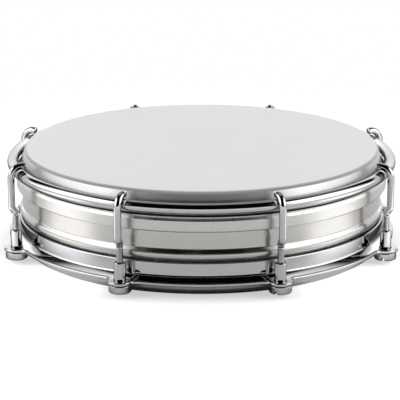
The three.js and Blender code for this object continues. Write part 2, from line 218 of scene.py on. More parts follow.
class TAMBORIM_PG_hook(PropertyGroup):
    """Sizes of the tension hooks"""

    rod: mm("Rod", "Diameter of the rod", 3)
    bend: mm("Bend", "Radius of the bend over the counter hoop", 4.6)
    tip_chamfer: mm("Tip chamfer", "Chamfer at the hook's tip", 0.36)
    ease: mm("Ease", "How far the bend's centre lies below the hoop's", 0.4)
    wrap: angle("Wrap", "How far the bend runs over the counter hoop", 107)
    jog: mm("Jog", "Inward set of the lower rod", 1.6)
    jog_height: mm("Jog height", "Height of the middle of the jog", 22.7)
    jog_length: mm("Jog length", "Height over which the rod is set in", 3)
    thread: mm("Thread", "Outside diameter of the thread", 2.7)
    thread_depth: mm("Thread depth", "Depth of the thread's groove", 0.24)
    pitch: mm("Pitch", "Distance from one turn of the thread to the next", 0.5)
    thread_top: mm("Thread top", "Height where the thread runs out", 20.4)
    thread_end: length("Thread end", "Height of the hook's lower end", HOOK_BOTTOM.z)
    sides: steps("Steps", "Steps round the rod", 28)


class TAMBORIM_PG_nut(PropertyGroup):
    """Sizes of the tube nuts"""

    bottom: length("Bottom", "Height of the slotted face", NUT_BOTTOM.z)
    top: length("Top", "Height of the sleeve's top", NUT_TOP.z)
    sleeve: mm("Sleeve", "Diameter of the sleeve", 4.7)
    sleeve_chamfer: mm("Sleeve chamfer", "Chamfer at the sleeve's top", 0.35)
    bore: mm("Bore", "Diameter of the bore", 3.3)
    head: mm("Head", "Diameter of the head", 9.2)
    head_height: mm("Head height", "Height of the head", 3.2)
    head_round: mm("Head rounding", "Radius of the head's lower edge", 0.8)
    head_break: mm("Head edge", "Radius of the head's upper edge", 0.24)
    edge: mm("Edge", "Rounding of the other edges", 0.15)
    slot_width: mm("Slot width", "Width of the driver slot", 1.4)
    slot_depth: mm("Slot depth", "Depth of the driver slot", 1.6)
    slot_turns: angles("Slot turns", "How far each nut's slot is turned from the radial line", SLOT_TURNS)
    segments: steps("Steps", "Steps round the nut", 64)


class TAMBORIM_PG_finish(PropertyGroup):
    """Colours and gloss of the finishes"""

    steel: tint("Steel", "Colour of the satin steel shell", (0.546, 0.533, 0.517))
    steel_roughness: share("Steel roughness", "Roughness of the satin steel", 0.24)
    chrome: tint("Chrome", "Colour of the chrome plate", (0.546, 0.541, 0.553))
    chrome_roughness: share("Chrome roughness", "Roughness of the chrome plate", 0.045)
    chrome_edge: tint("Chrome edge", "Tint of the chrome plate where it is seen edge on", (0.4, 0.4, 0.405))
    aluminium: tint("Aluminium", "Colour of the flesh hoop", (0.624, 0.612, 0.595))
    aluminium_roughness: share("Aluminium roughness", "Roughness of the flesh hoop", 0.3)
    # Painted shade: this dark colour stands in for the shade in the groove under the curl
    seam: tint("Seam", "Colour of the shadowed groove under the flesh hoop's curl", (0.06, 0.058, 0.056))
    coat: tint("Coat", "Colour of the white coat on the playing face", (0.84, 0.837, 0.838))
    coat_roughness: share("Coat roughness", "Roughness of the white coat", 0.4)
    # Painted shade on the shoulder: how much of the coat's colour is left where the darkening ends
    shoulder_shade_left: share("Shaded coat", "Share of the coat's colour that is left at its edge", 0.5)
    collar: tint("Film collar", "Colour of the steel neck through the clear film", (0.58, 0.574, 0.564))
    collar_roughness: share("Film collar roughness", "Roughness of the steel neck under the film", 0.34)
    resin: tint("Resin", "Colour of the resin in the channel", (0.42, 0.35, 0.22))


class TAMBORIM_PG_studio(PropertyGroup):
    """Camera, floor and lights"""

    lens: optics("Lens", "Focal length in millimetres", 194.47)
    sensor: optics("Sensor", "Width of the sensor in millimetres", 36.0)
    distance: mm("Distance", "From the camera to the point it looks at", 924.9)
    elevation: angle("Elevation", "How far the camera looks down", 15.78)
    azimuth: angle("Azimuth", "How far the camera stands to the right of the front", 0.4)
    aim: spot("Aim", "Point that the camera looks at", (-0.0006, 0, 0.0179))
    floor: tint("Floor", "Colour of the floor", (0.82, 0.82, 0.82))
    floor_radius: length("Floor radius", "Radius of the floor", 30.0)
    floor_fade: span("Floor fade", "Where the fade to an even white starts and ends", (0.14, 0.3))
    floor_lift: share("Floor lift", "How far the floor is lifted to white where it is seen or mirrored", 0.11)
    floor_white: share("Floor white", "How much more it is lifted where it is seen directly", 0.54)
    shade: span("Shade", "Where the contact shade begins to clear and where it ends", (0.075, 0.097))
    shade_squeeze: share("Shade squeeze", "Depth of the contact shade as a share of its width", 0.8)
    shade_depth: share("Shade depth", "How much of the light the contact shade takes away", 0.86)
    shade_seen: share("Shade seen", "Share of the contact shade that shows on the floor itself", 0.2)
    gap: span("Gap", "Radius of the even part of each lit gap in the shade, and of its end", (0.012, 0.032))
    gap_place: spot("Gap place", "Middle of the right-hand gap", (0.0605, -0.0605, 0))
    gap_glow: glow("Gap glow", "Brightness of each gap", 0.3)
    pool: span("Pool", "Half depth of the even part of each pool of light, and of its end", (0.025, 0.055))
    pool_place: spot("Pool place", "Middle of the right-hand pool", (0.15, -0.055, 0))
    pool_squeeze: share("Pool squeeze", "Depth of each pool as a share of its width", 0.6)
    pool_glow: glow("Pool glow", "Brightness of each pool", 1.15)
    horizon: angle("Horizon", "How high the white rises all round", 4)
    dark: share("Dark room", "Brightness of the unlit room", 0.003)
    backdrop: angle("Backdrop", "How high the white rises behind the drum", 32)
    blend: angle("Blend", "Angle over which the backdrop fades into the dark", 4)
    ceiling: share("Ceiling", "Brightness of the ceiling", 0.42)
    ceiling_tilt: angle("Ceiling tilt", "How far behind the drum the middle of the ceiling is", 30)
    ceiling_core: angle("Ceiling core", "Half angle of the even part of the ceiling", 18)
    ceiling_edge: angle("Ceiling edge", "Half angle where the ceiling ends", 33)
    box_place: spot("Softbox place", "Middle of the right-hand softbox", (0.42, -0.13, 0.33))
    box_size: span("Softbox size", "Width and height of each side softbox", (0.7, 0.5))
    box_power: watts("Softbox power", "Power of each side softbox", 3.0)
    box_soft: share("Softbox sides", "Share of each side softbox's width over which it fades", 0.6)
    box_soft_top: share("Softbox top", "Share of each side softbox's height over which it fades", 0.4)
    back_place: spot("Back place", "Middle of the back softbox", (0, 0.6, 0.2))
    back_size: span("Back size", "Width and height of the back softbox", (1.0, 0.4))
    back_power: watts("Back power", "Power of the back softbox", 1.85)
    back_soft: share("Back edge", "Share of the back softbox over which it fades", 0.15)
    over_place: spot("Fill place", "Middle of the overhead fill", (0, 0.15, 0.8))
    over_size: span("Fill size", "Width and depth of the overhead fill", (0.6, 0.6))
    over_power: watts("Fill power", "Power of the overhead fill", 1.4)
    over_soft: share("Fill edge", "Share of the overhead fill over which it fades", 0.2)


class TAMBORIM_PG_settings(PropertyGroup):
    """All sizes and finishes of the drum"""

    shell: PointerProperty(type=TAMBORIM_PG_shell)
    head: PointerProperty(type=TAMBORIM_PG_head)
    ring: PointerProperty(type=TAMBORIM_PG_ring)
    hook: PointerProperty(type=TAMBORIM_PG_hook)
    nut: PointerProperty(type=TAMBORIM_PG_nut)
    finish: PointerProperty(type=TAMBORIM_PG_finish)
    studio: PointerProperty(type=TAMBORIM_PG_studio)


def arc(r, z, radius, start, end, step=ARC_STEP):
    """Points of an arc about (r, z), between two angles in radians."""
    count = max(2, ceil(abs(end - start) / step))
    points = []
    for i in range(count + 1):
        turn = start + (end - start) * i / count
        points.append((r + radius * cos(turn), z + radius * sin(turn)))
    return points


def oval(r, z, across, up, start, end):
    """Points of an oval about (r, z), between two angles in radians."""
    return [(r + across * x, z + up * y) for x, y in arc(0, 0, 1, start, end)]


def rounded(corners, closed=False):
    """A line through (r, z, radius) corners, each rounded to its radius.

    A point is kept close to both ends of each arc, so that the straight parts are shaded flat.
    """
    line = []
    count = len(corners)
    for i, (r, z, radius) in enumerate(corners):
        here = Vector((r, z))
        at_end = not closed and i in (0, count - 1)
        if radius == 0 or at_end:
            line.append((r, z))
            continue
        back = Vector(corners[i - 1][:2]) - here
        ahead = Vector(corners[(i + 1) % count][:2]) - here
        half = back.angle(ahead) / 2
        reach = radius / tan(half)
        back.normalize()
        ahead.normalize()
        centre = here + (back + ahead).normalized() * (radius / sin(half))
        first = here + back * reach - centre
        last = here + ahead * reach - centre
        start = atan2(first.y, first.x)
        sweep = atan2(first.x * last.y - first.y * last.x, first.dot(last))
        before = here + back * (reach + HOLD)
        after = here + ahead * (reach + HOLD)
        line.append(tuple(before))
        line.extend(arc(centre.x, centre.y, radius, start, start + sweep))
        line.append(tuple(after))
    return line


def add_face(shape, corners):
    """A face through the corners that differ, if there are at least three."""
    corners = list(dict.fromkeys(corners))
    if len(corners) > 2:
        shape.faces.new(corners)


def join_rows(shape, rows, closed=True):
    """Joins rows of points that run round a piece. A row may be a single point."""
    pairs = list(zip(rows, rows[1:]))
    if closed:
        pairs.append((rows[-1], rows[0]))
    for low, high in pairs:
        count = max(len(low), len(high))
        for i in range(count):
            j = (i + 1) % count
            below = low[i % len(low)], low[j % len(low)]
            above = high[j % len(high)], high[i % len(high)]
            add_face(shape, below + above)


def turned(section, segments, closed=True):
    """A section of (r, z) points turned about +Z. An open section starts and ends on the axis."""
    shape = bmesh.new()
    rows = []
    for r, z in section:
        count = 1 if r < HOLD else segments
        turns = [tau * i / count for i in range(count)]
        rows.append([shape.verts.new((r * cos(turn), r * sin(turn), z)) for turn in turns])
    join_rows(shape, rows, closed)
    bmesh.ops.remove_doubles(shape, verts=shape.verts, dist=WELD)
    bmesh.ops.recalc_face_normals(shape, faces=shape.faces)
    return shape


def to_mesh(name, shape):
    """Turns a finished shape into a mesh."""
    mesh = bpy.data.meshes.new(name)
    shape.to_mesh(mesh)
    shape.free()
    return mesh


def show(name, data):
    """Puts a mesh, a lamp or a camera into the scene."""
    piece = bpy.data.objects.new(name, data)
    bpy.context.scene.collection.objects.link(piece)
    return piece


def smooth(mesh, *materials):
    """Shades a mesh smooth up to its sharp edges, and gives it its materials."""
    mesh.shade_smooth()
    mesh.set_sharp_from_angle(angle=SHARP_EDGE)
    mesh.materials.clear()
    for material in materials:
        mesh.materials.append(material)


def fit(piece, body, node):
    """Hands a finished piece to the frame in place of a node."""
    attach(piece, body)
    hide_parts(node)


def cut(piece, tool):
    """Takes the tool's shape out of the piece, and removes the tool."""
    cutter = piece.modifiers.new("Cut", "BOOLEAN")
    cutter.operation = "DIFFERENCE"
    cutter.solver = "EXACT"
    cutter.object = tool
    bpy.context.view_layer.update()
    seen = piece.evaluated_get(bpy.context.evaluated_depsgraph_get())
    mesh = bpy.data.meshes.new_from_object(seen)
    if not mesh.polygons:
        raise RuntimeError(f"nothing is left of {piece.name} after its cut")
    piece.modifiers.remove(cutter)
    uncut = piece.data
    mesh.name = uncut.name + "_cut"
    piece.data = mesh
    bpy.data.meshes.remove(uncut)
    bpy.data.meshes.remove(tool.data)


class Nodes:
    """Adds linked nodes to a tree."""

    def __init__(self, tree):
        self.tree = tree

    def put(self, socket, value):
        """Links a value to a socket, or sets it there."""
        if isinstance(value, bpy.types.NodeSocket):
            self.tree.links.new(value, socket)
        else:
            socket.default_value = value

    def node(self, kind, inputs=None, **settings):
        """A new shader node with its inputs fed and its settings made."""
        made = self.tree.nodes.new("ShaderNode" + kind)
        for key, value in settings.items():
            setattr(made, key, value)
        for key, value in (inputs or {}).items():
            self.put(made.inputs[key], value)
        return made

    def split(self, vector):
        return self.node("SeparateXYZ", {"Vector": vector}).outputs

    def maths(self, operation, *values):
        return self.node("Math", dict(enumerate(values)), operation=operation).outputs[0]

    def vector(self, operation, *values, gives="Vector"):
        made = self.node("VectorMath", dict(enumerate(values)), operation=operation)
        return made.outputs[gives]

    def measure(self, operation, *values):
        """A number taken from one or two vectors."""
        return self.vector(operation, *values, gives="Value")

    def scaled(self, vector, factor):
        made = self.node("VectorMath", {0: vector, "Scale": factor}, operation="SCALE")
        return made.outputs["Vector"]

    def fall(self, value, near, far):
        """One up to the near value, and nothing beyond the far one."""
        limits = {"Value": value, "From Min": near, "From Max": far, "To Min": 1.0, "To Max": 0.0}
        return self.node("MapRange", limits, interpolation_type="SMOOTHSTEP").outputs["Result"]


class Finish(Nodes):
    """A node material under construction, with a Principled shader."""

    def __init__(self, name):
        self.material = bpy.data.materials.new(name)
        self.material.use_nodes = True
        super().__init__(self.material.node_tree)
        self.shader = self.tree.nodes["Principled BSDF"]

    def feed(self, socket, value):
        """Gives the shader a value, or links one to it."""
        self.put(self.shader.inputs[socket], value)

    def place(self):
        """Where the point lies on the piece."""
        return self.node("TexCoord").outputs["Object"]

    def from_axis(self):
        """How far the point lies from the drum's axis."""
        return self.measure("LENGTH", self.vector("MULTIPLY", self.place(), (1, 1, 0)))

    def noise(self, vector, scale, detail=3.0):
        made = self.node("TexNoise", {"Vector": vector, "Scale": scale, "Detail": detail})
        return made.outputs["Fac"]

    def rolling_lines(self):
        """Fine lines that run round the drum, as rolling leaves them."""
        parts = self.split(self.place())
        turn = self.maths("ARCTAN2", parts["Y"], parts["X"])
        stretched = {
            "X": self.maths("MULTIPLY", turn, LINES_ROUND),
            "Y": self.maths("MULTIPLY", self.from_axis(), LINES_ACROSS),
            "Z": self.maths("MULTIPLY", parts["Z"], LINES_ACROSS),
        }
        lines = self.node("CombineXYZ", stretched).outputs["Vector"]
        return self.noise(lines, scale=1.0, detail=2.0)

    def between(self, noise, low, high):
        """The noise, brought to run from low to high."""
        limits = {"From Min": NOISE_LOW, "From Max": NOISE_HIGH, "To Min": low, "To Max": high}
        return self.node("MapRange", {"Value": noise, **limits}).outputs["Result"]

    def about(self, noise, mean, spread):
        """The noise, brought to a mean value and a spread that is a share of it."""
        return self.between(noise, mean * (1 - spread), mean * (1 + spread))

    def shaded(self, noise, colour, depth):
        """The colour, darkened by up to depth where the noise is low."""
        ramp = self.node("ValToRGB", {"Fac": noise})
        dark, full = ramp.color_ramp.elements
        dark.position = NOISE_LOW
        dark.color = (*(part * (1 - depth) for part in colour), 1)
        full.position = NOISE_HIGH
        full.color = (*colour, 1)
        return ramp.outputs["Color"]

    def bump(self, height, strength, distance):
        made = self.node("Bump", {"Height": height, "Strength": strength, "Distance": distance})
        self.feed("Normal", made.outputs["Normal"])


def rolled_metal(name, colour, roughness):
    """Satin sheet with fine lines that run round the drum, and faint handling marks."""
    finish = Finish(name)
    lines = finish.rolling_lines()
    marks = finish.noise(finish.place(), scale=90.0, detail=4.0)
    worn = finish.about(marks, roughness, spread=0.15)
    brushed = finish.between(lines, low=-0.03, high=0.03)
    around = finish.node("Tangent", direction_type="RADIAL", axis="Z")
    finish.feed("Base Color", finish.shaded(marks, colour, depth=0.05))
    finish.feed("Roughness", finish.maths("ADD", worn, brushed))
    finish.feed("Metallic", 1.0)
    finish.feed("Anisotropic", 0.5)
    finish.feed("Anisotropic Rotation", 0.25)
    finish.feed("Tangent", around.outputs["Tangent"])
    finish.bump(lines, strength=0.06, distance=0.02 * MM)
    return finish.material


def chrome_plate(name, plate):
    """Bright plate with a slight waviness and a haze that comes and goes."""
    finish = Finish(name)
    haze = finish.noise(finish.place(), scale=140.0, detail=4.0)
    wave = finish.noise(finish.place(), scale=320.0, detail=1.0)
    finish.feed("Base Color", finish.shaded(haze, plate.chrome, depth=0.04))
    finish.feed("Roughness", finish.about(haze, plate.chrome_roughness, spread=0.3))
    finish.feed("Metallic", 1.0)
    finish.feed("Specular Tint", (*plate.chrome_edge, 1))
    finish.bump(wave, strength=0.05, distance=0.05 * MM)
    return finish.material


def white_coat(name, colour, roughness, left, start, end):
    """White coat on the film, with a fine grain and a low sheen, and a painted shade that darkens it between
    two radii, over the shoulder.
    """
    finish = Finish(name)
    grain = finish.noise(finish.place(), scale=4200.0, detail=2.0)
    cloud = finish.shaded(finish.noise(finish.place(), scale=35.0), colour, depth=0.02)
    # Painted shade: the colour falls from full at the inner radius to the share left at the outer one
    darken = finish.maths("MULTIPLY_ADD", finish.fall(finish.from_axis(), start, end), 1 - left, left)
    finish.feed("Base Color", finish.scaled(cloud, darken))
    finish.feed("Specular IOR Level", 0.04)
    finish.feed("Roughness", finish.about(grain, roughness, spread=0.1))
    finish.bump(grain, strength=0.08, distance=0.03 * MM)
    return finish.material


def film_over_steel(name, colour, roughness):
    """Clear film drawn tight over the satin neck of the shell, which shows through it."""
    finish = Finish(name)
    wave = finish.noise(finish.place(), scale=260.0, detail=2.0)
    finish.feed("Base Color", finish.shaded(wave, colour, depth=0.05))
    finish.feed("Roughness", finish.about(finish.rolling_lines(), roughness, spread=0.15))
    finish.feed("Metallic", 0.9)
    finish.feed("Coat Weight", 0.25)
    finish.feed("Coat Roughness", 0.15)
    finish.feed("Coat IOR", 1.57)
    finish.bump(wave, strength=0.05, distance=0.1 * MM)
    return finish.material


def cast_resin(name, colour):
    """Poured resin, a little cloudy."""
    finish = Finish(name)
    cloud = finish.noise(finish.place(), scale=400.0)
    finish.feed("Base Color", finish.shaded(cloud, colour, depth=0.3))
    finish.feed("Roughness", finish.between(cloud, low=0.4, high=0.6))
    finish.bump(cloud, strength=0.2, distance=0.1 * MM)
    return finish.material


def bead_line(size, inset):
    """The bead's section from its lower to its upper end, with hollow blends into the wall."""
    half = size.bead_width / 2
    proud = size.bead_proud
    blend = size.bead_blend
    wall = size.diameter / 2
    reach = (half**2 + proud**2) / (2 * proud)
    crest = reach - blend
    lean = acos((reach - proud) / reach)
    lower = arc(wall + blend, size.bead_height - half, blend + inset, pi, pi - lean)
    top = arc(wall + proud - crest, size.bead_height, crest - inset, -lean, lean)
    upper = arc(wall + blend, size.bead_height + half, blend + inset, pi + lean, pi)
    return [*lower, *top[1:-1], *upper]


class TAMBORIM_OT_shell(Operator):
    """Turns the shell with its rolled rim, bead, neck and bearing edge"""

    bl_idname = "tamborim.add_shell"
    bl_label = "Shell"

    def execute(self, context):
        size = context.scene.tamborim.shell
        finish = context.scene.tamborim.finish
        wall = size.diameter / 2
        inside = wall - size.wall
        neck = wall - size.neck_step
        neck_bottom = size.height - size.neck_height
        taper_bottom = neck_bottom - size.neck_taper
        rim_edge = wall - size.rim_radius - size.rim_lip
        lip_edge = neck - size.crown - size.crown_lip
        edge = size.edge
        bead = bead_line(size, 0)
        hollow = bead_line(size, size.wall)[::-1]
        section = bead + rounded([
            (*bead[-1], 0),
            (wall, taper_bottom, size.taper_round),
            (neck, neck_bottom, size.taper_round),
            (neck, size.height, size.crown),
            (lip_edge, size.height, edge),
            (lip_edge, size.height - size.wall, edge),
            (neck - size.wall, size.height - size.wall, edge),
            (neck - size.wall, neck_bottom, size.wall),
            (inside, taper_bottom, size.wall),
            (*hollow[0], 0),
        ])[1:-1]
        section += hollow
        section += rounded([
            (*hollow[-1], 0),
            (inside, size.wall, size.rim_radius - size.wall),
            (rim_edge, size.wall, edge),
            (rim_edge, 0, edge),
            (wall, 0, size.rim_radius),
            (*bead[0], 0),
        ])[1:-1]
        mesh = to_mesh("shell_look", turned(section, size.segments))
        smooth(mesh, rolled_metal("satin_steel_look", finish.steel, finish.steel_roughness))
        fit(show("shell_look", mesh), "frame", "shell")
        return {"FINISHED"}


def corner_angle(a, b, opposite):
    """Angle between the sides a and b of a triangle."""
    return acos((a**2 + b**2 - opposite**2) / (2 * a * b))


def ray(turn):
    """Unit vector at an angle from +X."""
    return Vector((cos(turn), sin(turn)))


def ear_outline(size, station_radius, stations):
    """Points and outward normals of the flange's edge, with a blended ear at each station."""
    blend_centre = size.rim_radius + size.ear_blend
    reach = size.ear_radius + size.ear_blend
    spread = corner_angle(station_radius, blend_centre, reach)
    ear = pi - corner_angle(station_radius, reach, blend_centre)
    pitch = tau / stations
    outline = []

    def add_arc(centre, radius, start, end, outward, count):
        for i in range(count):
            way = ray(start + (end - start) * i / count)
            outline.append((centre + way * radius, way * outward))

    for k in range(stations):
        at = -pi / 2 + (k + 0.5) * pitch
        back = at + pi
        enter = at - spread
        leave = at + spread
        add_arc(ray(enter) * blend_centre, size.ear_blend, enter + pi, back - ear, -1, BLEND_STEPS)
        add_arc(ray(at) * station_radius, size.ear_radius, at - ear, at + ear, 1, EAR_STEPS)
        add_arc(ray(leave) * blend_centre, size.ear_blend, back + ear, leave + pi, -1, BLEND_STEPS)
        add_arc(Vector((0, 0)), size.rim_radius, leave, enter + pitch, 1, RIM_STEPS)
    return outline


class TAMBORIM_OT_ring(Operator):
    """Makes the tuning ring: an upright collar filleted into a flange with eight bored ears"""

    bl_idname = "tamborim.add_ring"
    bl_label = "Tuning ring"

    def execute(self, context):
        size = context.scene.tamborim.ring
        finish = context.scene.tamborim.finish
        inner = size.collar_radius
        outer = inner + size.collar_wall
        flange_top = size.bottom + size.plate
        edge = size.edge
        inset = 2 * edge
        slope_end = size.rim_radius - size.slope_stop
        collar = rounded([
            (slope_end, size.bottom, 0),
            (inner, size.bottom, edge),
            (inner, size.top, size.top_inside),
            (outer, size.top, size.top_outside),
            (outer, flange_top + size.slope, size.fillet),
            (slope_end, flange_top, 0),
        ])
        outline = ear_outline(size, STATION_RADIUS, len(STATIONS))
        rim = rounded([
            (inset, flange_top, 0),
            (0, flange_top, edge),
            (0, size.bottom, edge),
            (inset, size.bottom, 0),
        ])
        shape = bmesh.new()
        rows = []
        for r, z in collar:
            rows.append([shape.verts.new((*(point.normalized() * r), z)) for point, _ in outline])
        for depth, z in rim:
            rows.append([shape.verts.new((*(point - normal * depth), z)) for point, normal in outline])
        join_rows(shape, rows)
        bmesh.ops.recalc_face_normals(shape, faces=shape.faces)
        piece = show("tuning_ring_look", to_mesh("tuning_ring_look", shape))
        holes = bmesh.new()
        through = 3 * size.plate  # past both faces
        for place in STATIONS:
            at = Matrix.Translation((place.x, place.y, size.bottom + size.plate / 2))
            bmesh.ops.create_cone(
                holes, cap_ends=True, segments=HOLE_STEPS, depth=through, matrix=at,
                radius1=size.ear_hole / 2, radius2=size.ear_hole / 2,
            )
        cut(piece, show("ear_holes", to_mesh("ear_holes", holes)))
        smooth(piece.data, chrome_plate("chrome_ring_look", finish))
        fit(piece, "frame", "tuning_ring")
        return {"FINISHED"}


class TAMBORIM_OT_film(Operator):
    """Turns the film with its flat face, rounded shoulder, collar and flare"""

    bl_idname = "tamborim.add_film"
    bl_label = "Film"

    def execute(self, context):
        size = context.scene.tamborim.head
        finish = context.scene.tamborim.finish
        skin = size.film_thickness
        flat = [(size.film_collar * i / FACE_RINGS, size.film_top) for i in range(FACE_RINGS)]
        outside = rounded([
            (*flat[-1], 0),
            (size.film_collar, size.film_top, size.film_shoulder),
            (size.flare_radius, size.flare_top, size.film_shoulder),
            (size.film_root, size.flare_bottom, size.film_shoulder),
            (size.film_root, size.film_foot, 0),
        ])
        inside = rounded([
            (size.film_root - skin, size.film_foot, 0),
            (size.film_root - skin, size.flare_bottom, size.film_shoulder + skin),
            (size.flare_radius - skin, size.flare_top, size.film_shoulder),
            (size.film_collar - skin, size.film_top - skin, size.film_shoulder - skin),
            (0, size.film_top - skin, 0),
        ])
        mesh = to_mesh("film_look", turned(flat[:-1] + outside + inside, size.segments, closed=False))
        # The coat's colour is darkened over the shoulder as painted shade
        coat = white_coat(
            "white_coat_look", finish.coat, finish.coat_roughness, finish.shoulder_shade_left,
            size.shoulder_shade_radius, size.film_collar,
        )
        smooth(mesh, coat, film_over_steel("film_collar_look", finish.collar, finish.collar_roughness))
        for face in mesh.polygons:
            face.material_index = int(face.center.z < size.coat_foot)
        fit(show("film_look", mesh), "head", "head_film")
        return {"FINISHED"}


class TAMBORIM_OT_flesh_hoop(Operator):
    """Turns the flesh hoop's channel with its curled edge, and the resin that fills it"""

    bl_idname = "tamborim.add_flesh_hoop"
    bl_label = "Flesh hoop"

    def execute(self, context):
        size = context.scene.tamborim.head
        finish = context.scene.tamborim.finish
        wall = size.flesh_wall
        outer = size.flesh_outer
        inner = outer - size.flesh_width
        curl_radius = outer - size.curl_inset - size.flesh_curl
        rise = size.flesh_top - size.curl_height
        inner_top = size.flare_bottom - 2 * size.film_thickness
        floor = size.flesh_bottom + wall
        # Roundings of the rolled sheet, and what a groove leaves of it, from its thickness
        edge = 0.4 * wall
        foot_inside = 1.2 * wall
        foot_outside = 2.2 * wall
        groove_lip = 0.8 * wall
        roll_round = 0.6 * wall
        notch_round = 0.3 * wall
        thinned = 0.6 * wall
        curl = oval(curl_radius, size.curl_height, size.flesh_curl, rise, 0, size.curl_turn)
        under = oval(curl_radius, size.curl_height, size.flesh_curl - wall, rise - wall, size.curl_turn, 0)
        groove = outer - size.groove_depth
        notch = outer - size.notch_depth
        section = rounded([
            (*under[-1], 0),
            (notch - thinned, size.notch_height, edge),
            (outer - wall, size.roll_height, edge),
            (groove - thinned, size.groove_height, edge),
            (outer - wall, size.groove_bottom, edge),
            (outer - wall, floor, edge),
            (inner + wall, floor, edge),
            (inner + wall, inner_top, edge),
            (inner, inner_top, edge),
            (inner, size.flesh_bottom, foot_inside),
            (outer, size.flesh_bottom, foot_outside),
            (outer, size.groove_bottom, groove_lip),
            (groove, size.groove_height, edge),
            (outer, size.roll_height, roll_round),
            (notch, size.notch_height, notch_round),
            (*curl[0], 0),
        ])
        section += [*curl[1:], *under[:-1]]
        mesh = to_mesh("flesh_hoop_look", turned(section, size.segments))
        plain_aluminium = rolled_metal("aluminium_look", finish.aluminium, finish.aluminium_roughness)
        smooth(mesh, plain_aluminium, rolled_metal("notch_shade_look", finish.seam, finish.aluminium_roughness))
        # Faces in the groove under the curl take the painted shade
        for side in mesh.polygons:
            side.material_index = int(size.roll_height + edge < side.center.z < size.curl_height)
        fit(show("flesh_hoop_look", mesh), "head", "flesh_hoop")
        left = inner + wall + POUR_GAP
        right = outer - wall - POUR_GAP
        grip_in = size.film_root - size.film_thickness - POUR_GAP
        grip_out = size.film_root + POUR_GAP
        low = floor + POUR_GAP
        foot = size.film_foot - POUR_GAP
        pour = rounded([
            (left, low, edge),
            (right, low, edge),
            (right, size.resin_top, edge),
            (grip_out, size.resin_top, 0),
            (grip_out, foot, 0),
            (grip_in, foot, 0),
            (grip_in, size.resin_top, 0),
            (left, size.resin_top, edge),
        ], closed=True)
        mesh = to_mesh("hoop_resin_look", turned(pour, size.segments))
        smooth(mesh, cast_resin("resin_look", finish.resin))
        fit(show("hoop_resin_look", mesh), "head", "hoop_resin")
        return {"FINISHED"}


class TAMBORIM_OT_counter_hoop(Operator):
    """Turns the counter hoop, a round rod bent to a ring"""

    bl_idname = "tamborim.add_counter_hoop"
    bl_label = "Counter hoop"

    def execute(self, context):
        size = context.scene.tamborim.head
        finish = context.scene.tamborim.finish
        section = arc(size.hoop_radius, size.hoop_height, size.hoop_rod / 2, 0, tau)
        mesh = to_mesh("counter_hoop_look", turned(section[:-1], size.segments))
        smooth(mesh, chrome_plate("chrome_hoop_look", finish))
        fit(show("counter_hoop_look", mesh), "head", "counter_hoop")
        return {"FINISHED"}


def clamp(value, low=0.0, high=1.0):
    return min(high, max(low, value))


def hook_line(size, head):
    """Centre line of a hook in its radial plane, as (r, z) points from the tip down to the thread."""
    centre = head.hoop_height - size.ease
    upper = head.hoop_radius + size.bend
    lower = upper - size.jog
    jog_top = size.jog_height + size.jog_length / 2
    jog_bottom = jog_top - size.jog_length
    points = arc(head.hoop_radius, centre, size.bend, size.wrap, 0, BEND_STEP)
    points += [(upper, centre - HOLD), (upper, jog_top + HOLD)]
    for i in range(JOG_STEPS + 1):
        along = i / JOG_STEPS
        eased = along * along * (3 - 2 * along)
        points.append((upper - size.jog * eased, jog_top - size.jog_length * along))
    points += [(lower, jog_bottom - HOLD), (lower, size.thread_top + RUNOUT_TURNS * size.pitch)]
    return points


def thread_rows(size):
    """Rows of (turn, radius, height) for the rolled thread, each row climbing one turn round the rod."""
    crest = size.thread / 2
    root = crest - size.thread_depth
    low = size.thread_end
    high = size.thread_top
    first = low - SPARE_TURNS * size.pitch
    turns = ceil((high - low) / size.pitch) + 2 * SPARE_TURNS
    rows = []
    for turn in range(turns):
        for rise, depth in THREAD_FORM:
            radius = crest - depth * size.thread_depth
            row = []
            for i in range(size.sides):
                z = first + size.pitch * (turn + rise + i / size.sides)
                cut_in = clamp((high - z) / (RUNOUT_TURNS * size.pitch))
                lead = clamp((z - low) / size.pitch)
                full = radius * cut_in + crest * (1 - cut_in)
                reach = full * lead + root * LEAD_POINT * (1 - lead)
                row.append((tau * i / size.sides, reach, clamp(z, low, high)))
            rows.append(row)
    return rows


